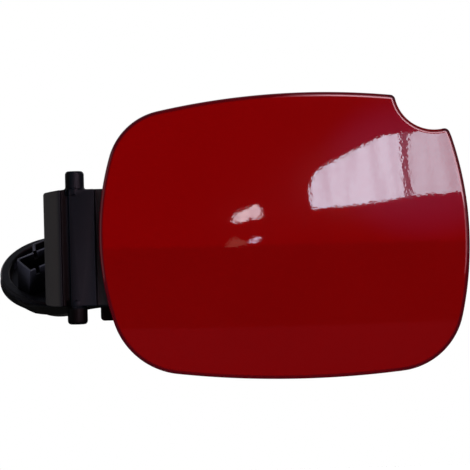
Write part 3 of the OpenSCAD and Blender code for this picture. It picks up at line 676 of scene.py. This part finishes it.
# %% [markdown]
# ## Screw bosses
#
# Four screws hold the skin to the frame behind it, each in a blind boss. A boss is turned: its half
# profile is drawn as a chain of radii and depths and spun round the axis of its screw. Its foot
# sinks into the back of the skin, so that the two are one lump.

# %% Raise the bosses
PANEL_X = (PANEL_LEFT + PANEL_RIGHT) / 2
PANEL_Z = (PANEL_BOTTOM + PANEL_TOP) / 2
SCREW_X, SCREW_Z = 53.0, 50.05
BOSS_PROFILE = ((0.0, 2.6), (1.65, 2.6), (1.65, 7.0), (3.7, 7.0), (3.7, 2.2), (0.0, 2.2))


def raise_boss(bm, x, z):
    """Spins a blind screw boss round a place in the panel."""
    older = set(bm.verts)
    verts = [bm.verts.new(((x + r) * MM, y * MM, z * MM)) for r, y in BOSS_PROFILE]
    edges = [bm.edges.new(pair) for pair in zip(verts, verts[1:])]
    bmesh.ops.spin(
        bm, geom=verts + edges, cent=(x * MM, 0.0, z * MM), axis=(0.0, 1.0, 0.0), dvec=(0.0, 0.0, 0.0),
        angle=math.tau, steps=40, use_merge=True, use_normal_flip=False, use_duplicate=False,
    )
    bmesh.ops.remove_doubles(bm, verts=[v for v in bm.verts if v not in older], dist=1e-6)


for side in (-1, 1):
    for level in (-1, 1):
        raise_boss(skin, PANEL_X + side * SCREW_X, PANEL_Z + level * SCREW_Z)
print("four bosses", 2 * BOSS_PROFILE[3][0], "mm across")

# %% [markdown]
# ## The dome
#
# The skin is curved both ways, a little along the door and more up and down. Bending the finished
# flat shape needs only one number for each place: how deep the dome lies there. An arc up and down
# that is swept round a wider arc along the door gives it, and every vertex moves in by that much.

# %% Bend the skin over the dome
DOME_V, DOME_H = 480.0, 1200.0
DOME_REACH = 16.0


def dome(x, z):
    """Depth of the painted surface at a place, all in metres."""
    dx, dz = x / MM - PANEL_X, z / MM - PANEL_Z
    ring = DOME_H - DOME_V + math.sqrt(DOME_V * DOME_V - dz * dz)
    return (DOME_H - DOME_REACH - math.sqrt(ring * ring - dx * dx)) * MM


corner_drop = dome(PANEL_LEFT * MM, PANEL_TOP * MM) - dome(PANEL_X * MM, PANEL_Z * MM)
print(f"the dome drops {corner_drop * 1000:.1f} mm to a corner")
for vertex in skin.verts:
    vertex.co.y += dome(vertex.co.x, vertex.co.z)
bmesh.ops.recalc_face_normals(skin, faces=skin.faces[:])
tell(piece_from(skin, "painted_skin", "body_paint", "outer_panel"))

# %% [markdown]
# ## Softened copies of the mouldings
#
# The ribbed frame, the swan-neck arm, the cap and the tether already have their true shape in the
# CAD model, but its edges are razor sharp, and nothing moulded is. A copy of each mesh is merged,
# its needless edges are dissolved, and a Bevel modifier rounds whatever is left by a few tenths of
# a millimetre, so that every edge catches a thin line of light.

# %% Soften the CAD shapes
EDGE_ANGLE = math.radians(30)


def softened(node, slot, rounding, segments=2):
    """A copy of a CAD node's mesh with rounded edges, standing for the node."""
    bm = bmesh.new()
    bm.from_mesh(frame["nodes"][node].data)
    bmesh.ops.remove_doubles(bm, verts=bm.verts[:], dist=2e-6)
    bmesh.ops.dissolve_limit(
        bm, angle_limit=math.radians(0.5), use_dissolve_boundaries=False,
        verts=bm.verts[:], edges=bm.edges[:], delimit=set(),
    )
    piece = piece_from(bm, node + "_moulded", slot, node)
    bevel = piece.modifiers.new("softened edges", "BEVEL")
    bevel.width = rounding * MM
    bevel.segments = segments
    bevel.limit_method = "ANGLE"
    bevel.angle_limit = EDGE_ANGLE
    bevel.use_clamp_overlap = False
    bevel.harden_normals = True
    tell(piece)
    return piece


softened("hinge_arm", "arm_plastic", 0.57, 3)
softened("inner_frame", "frame_plastic", 0.24)
softened("cap_cover", "cap_plastic", 0.2)
softened("cap_core", "core_plastic", 0.2)
softened("tether", "tether_plastic", 0.2)
softened("tether_peg", "arm_plastic", 0.2)

# %% [markdown]
# ## The small fittings
#
# Screws, rivets, the striker, the rubber buffers and the cap's valve get the same treatment with
# finer roundings. Pieces that repeat come from a loop, and each stays a piece of its own.

# %% Soften the small fittings
softened("lock_striker", "zinc_steel", 0.2)
for k in range(1, 5):
    softened(f"frame_screw_{k}", "zinc_steel", 0.12)
for k in range(1, 3):
    softened(f"arm_screw_{k}", "zinc_steel", 0.15)
    softened(f"striker_rivet_{k}", "zinc_steel", 0.12)
for name in ("bump_stop_upper", "bump_stop_lower", "cap_gasket", "valve_seal"):
    softened(name, "rubber", 0.25)
for name in ("valve_retainer", "valve_plate"):
    softened(name, "pale_plastic", 0.12)

# %% [markdown]
# ## A spring that gives way
# ## The valve spring
# The relief valve lifts against its coil spring. The spring is softened like the other fittings
# and is given a copy of its mesh.

# %% Soften the spring
spring = softened("valve_spring", "spring_steel", 0.02)
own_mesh(spring)

# %% [markdown]
# ## The table and the room
#
# A pale table stands below the door. A glossy door also shows whatever it faces, and in a white
# studio it would look milky, so a dim room that only reflections can see is built round it.

# %% Set the table and the room
BLACK = (0.0, 0.0, 0.0)
TABLE_TONE = (0.86, 0.86, 0.86)
ROOM_GLOW = (0.006, 0.006, 0.006)


def flat_finish(name, tone, glow=BLACK):
    """A matt colour for the stage, which may glow."""
    material = bpy.data.materials.new(name)
    material.use_nodes = True
    shader = material.node_tree.nodes["Principled BSDF"]
    shader.inputs["Base Color"].default_value = (*tone, 1.0)
    shader.inputs["Roughness"].default_value = 0.9
    shader.inputs["Specular IOR Level"].default_value = 0.0
    shader.inputs["Emission Color"].default_value = (*glow, 1.0)
    shader.inputs["Emission Strength"].default_value = 1.0 if any(glow) else 0.0
    return material


def staged(bm, name, material, only_reflected=True):
    """Turns a bmesh into part of the stage, which reflections alone may see."""
    mesh = bpy.data.meshes.new(name)
    bm.to_mesh(mesh)
    bm.free()
    mesh.materials.append(material)
    thing = bpy.data.objects.new(name, mesh)
    bpy.context.scene.collection.objects.link(thing)
    if only_reflected:
        thing.visible_camera = False
        thing.visible_diffuse = False
        thing.visible_shadow = False
        thing.visible_transmission = False
    return thing


def box_mesh(low, high):
    """A bmesh box between two corners."""
    bm = bmesh.new()
    bmesh.ops.create_cube(bm, size=1.0)
    bmesh.ops.scale(bm, vec=Vector(high) - Vector(low), verts=bm.verts[:])
    bmesh.ops.translate(bm, vec=(Vector(high) + Vector(low)) / 2, verts=bm.verts[:])
    return bm


table_mesh = box_mesh((-1.1, -1.0, -0.14), (1.3, 0.35, -0.13))
table = staged(table_mesh, "table", flat_finish("pale table", TABLE_TONE), only_reflected=False)
table.visible_glossy = False
room_mesh = box_mesh((-1.7, -1.5, -0.9), (1.9, 1.4, 1.6))
staged(room_mesh, "dim_room", flat_finish("dim room", BLACK, ROOM_GLOW))
print("table 130 mm below the hinge")

# %% [markdown]
# ## Soft light
#
# The camera, mirrors and glass see white surroundings, while everything else gets only a soft share
# of that light. Three soft lamps do the rest. Together they light the door so that a colour comes
# out about as written. The lamps hide from mirrors, because a window will draw the highlights.

# %% Light the surroundings
AMBIENT = 0.28


def white_surroundings(ambient):
    """A world that is white to look at and lights with the ambient strength."""
    world = bpy.data.worlds.new("white surroundings")
    bpy.context.scene.world = world
    world.use_nodes = True
    tree = world.node_tree
    background = tree.nodes["Background"]
    background.inputs["Color"].default_value = (1.0, 1.0, 1.0, 1.0)
    path = tree.nodes.new("ShaderNodeLightPath")
    seen = path.outputs["Is Camera Ray"]
    for ray in ("Is Glossy Ray", "Is Transmission Ray"):
        either = tree.nodes.new("ShaderNodeMath")
        either.operation = "ADD"
        either.use_clamp = True
        tree.links.new(seen, either.inputs[0])
        tree.links.new(path.outputs[ray], either.inputs[1])
        seen = either.outputs[0]
    level = tree.nodes.new("ShaderNodeMapRange")
    level.inputs["To Min"].default_value = ambient
    level.inputs["To Max"].default_value = 1.0
    tree.links.new(seen, level.inputs["Value"])
    tree.links.new(level.outputs[0], background.inputs["Strength"])


white_surroundings(AMBIENT)
print("surroundings light at", AMBIENT)

# %% Place the lamps
DOOR_MIDDLE = Vector((0.09, 0.0, 0.04))


def soft_lamp(name, place, width, height, power):
    """A rectangular soft lamp that points at the door."""
    data = bpy.data.lights.new(name, "AREA")
    data.shape = "RECTANGLE"
    data.size = width
    data.size_y = height
    data.energy = power
    lamp = bpy.data.objects.new(name, data)
    back = (Vector(place) - DOOR_MIDDLE).normalized()
    right = Vector((0.0, 0.0, 1.0)).cross(back).normalized()
    lamp.matrix_world = Matrix.Translation(place) @ turn_from(right, back.cross(right), back)
    lamp.visible_camera = False
    lamp.visible_glossy = False
    bpy.context.scene.collection.objects.link(lamp)
    print(f"{name}: {power} W")


soft_lamp("key_left", (-1.05, -0.95, 0.75), 0.8, 0.9, 12.0)
soft_lamp("fill_right", (1.25, -0.85, 0.6), 0.9, 0.9, 9.0)
soft_lamp("top_back", (0.2, 0.85, 1.1), 1.0, 0.7, 20.0)

# %% [markdown]
# ## What the paint mirrors
#
# The paint draws its highlights from the things in front of it: a wall that is warm above eye
# level, bright high up and dim near the floor, a window with a bar and soft curtains, pale strips to
# the far right, and three small lights. Each is a pane, an outline in a plane across Y with a glow
# of its own, written as the few corners that its reflection needs. A curtain is not evenly bright,
# so its glow runs from dark to light with soft noise, and the warm wall's glow with the distance
# from the window.

# %% Make panes
WALL_PLACE, WINDOW_PLACE = -1.38, -1.3


def pane(name, corners, material, place=WINDOW_PLACE):
    """A pane across Y, with corners as (x, z) in millimetres."""
    bm = bmesh.new()
    bm.faces.new([bm.verts.new((x * MM, place, z * MM)) for x, z in corners])
    staged(bm, name, material)


def across(left, right, low, high):
    """Corners of an upright rectangle."""
    return [(left, low), (right, low), (right, high), (left, high)]


def even_glow(name, glow):
    """A black finish that glows alike all over."""
    return flat_finish(name + " glow", BLACK, glow)


def uneven_glow(name, dark, light, pattern):
    """A black finish whose glow runs from dark to light with a pattern."""
    finish = Finish(name + " light", Specular_IOR_Level=0.0, Emission_Strength=1.0)
    finish.shader.inputs["Base Color"].default_value = (*BLACK, 1.0)
    finish.feed("Emission Color", between(dark, light, pattern(finish)))
    return finish.material


print("window stands", -WINDOW_PLACE, "m in front of the door")


# %% Choose the patterns of the glow
def folds(finish):
    """Soft upright folds of a curtain, and the mottle of its cloth."""
    upright = ramp(blotches(finish, 0.028, 2.0, (1.0, 1.0, 0.05)), 0.3, 0.6)
    return upright * 0.8 + blotches(finish, 0.014, 3.0) * 0.9 - 0.35


def mottle(finish):
    """A few soft patches over a small light."""
    return blotches(finish, 0.02, 1.0) * 1.6 - 0.3


def rightwards(finish):
    """0 on the left part of the wall and 1 on the right."""
    return ramp(along(finish, 0), 0.14, 0.36)


def round_window(finish):
    """1 round the window, fading out over a quarter of a metre."""
    x = (along(finish, 0) - 0.5) * 4.4
    z = (along(finish, 2) - 0.33) * 3.4
    return 1.0 - ramp(x * x + z * z, 0.1, 1.5)


print("folds, mottle, rightwards and round_window are ready")

# %% Hang the walls
warm_glow = uneven_glow("warm_wall", (0.82, 0.002, 0.006), (0.97, 0.09, 0.38), round_window)
pane("warm_wall", across(-320, 800, 0, 700), warm_glow, WALL_PLACE)
high_glow = uneven_glow("high_wall", (1.2, 0.2, 0.3), (11.0, 6.4, 7.6), rightwards)
pane("high_wall", across(120, 1300, 720, 1580), high_glow, WALL_PLACE)
pane("low_wall", across(-320, 800, -700, -350), even_glow("low_wall", (0.26, 0.028, 0.045)), WALL_PLACE)
print("three walls stand", -WALL_PLACE, "m in front of the door")

# %% Hang the window
BAR_PLACE = WINDOW_PLACE - 0.01
LEFT_PANE = [
    (210, 142), (205, 220), (220, 287), (240, 313), (305, 368), (372, 426), (395, 438), (430, 450),
    (430, 250), (434, 183), (405, 173), (305, 152),
]
RIGHT_PANE = [
    (452, 446), (446, 360), (446, 285), (451, 188), (490, 191), (590, 200), (590, 500), (520, 470),
]

pane("window_bar", across(430, 455, 180, 455), even_glow("window_bar", (1.4, 0.9, 1.5)), BAR_PLACE)
pane("window_left", LEFT_PANE, uneven_glow("window_left", (9.2, 9.2, 11.4), (12.0, 12.6, 15.2), folds))
pane("window_right", RIGHT_PANE, uneven_glow("window_right", (6.6, 6.2, 7.6), (9.4, 9.8, 11.8), folds))
pane("window_far", across(600, 1300, 195, 720), even_glow("window_far", (11.0, 7.5, 8.8)))
pane("low_far", across(600, 1300, -150, 190), even_glow("low_far", (3.0, 1.2, 1.6)))
print("left pane of", len(LEFT_PANE), "corners, right pane of", len(RIGHT_PANE))

# %% Hang the small lights
LAMP = [
    (24, 95), (22, 112), (30, 130), (65, 156), (80, 165), (88, 152), (93, 124), (80, 106), (64, 108),
    (46, 95),
]
LAMP_BELOW = [(60, 13), (68, 26), (78, 36), (88, 36), (88, 27), (78, 15)]
LAMP_DIM = [(5, 0), (26, 39), (36, 28), (56, 18), (53, 2)]

pane("lamp", LAMP, uneven_glow("lamp", (8.0, 7.0, 8.2), (15.0, 12.0, 12.6), mottle))
pane("lamp_below", LAMP_BELOW, even_glow("lamp_below", (10.5, 9.0, 12.0)))
pane("lamp_dim", LAMP_DIM, even_glow("lamp_dim", (2.0, 0.6, 0.45)))
print("three small lights hang beside the window")

# %% [markdown]
# ## The rest of the room
#
# The rolled edge and the black mouldings look past the window, to the roof and the walls beside and
# behind them. Pale cloths hung there draw the thin lines of light along every edge.

# %% Hang the cloths
CLOTHS = (
    ("roof", (0.15, -1.38, 1.57), (1.65, -0.5, 1.58), (1.0, 0.5, 0.6)),
    ("right_wall", (1.8, -1.3, -0.1), (1.82, -0.5, 1.5), (1.0, 0.5, 0.6)),
    ("left_wall", (-1.65, -1.0, -0.3), (-1.63, 0.5, 1.0), (0.35, 0.34, 0.36)),
    ("back_roof", (-1.5, 0.1, 1.57), (0.2, 1.3, 1.58), (0.17, 0.18, 0.22)),
    ("back_wall", (-1.5, 1.3, 0.2), (1.7, 1.32, 1.4), (0.8, 0.8, 0.84)),
)
for name, low, high, glow in CLOTHS:
    staged(box_mesh(low, high), name, even_glow(name, glow))
print(len(CLOTHS), "cloths hang round the door")
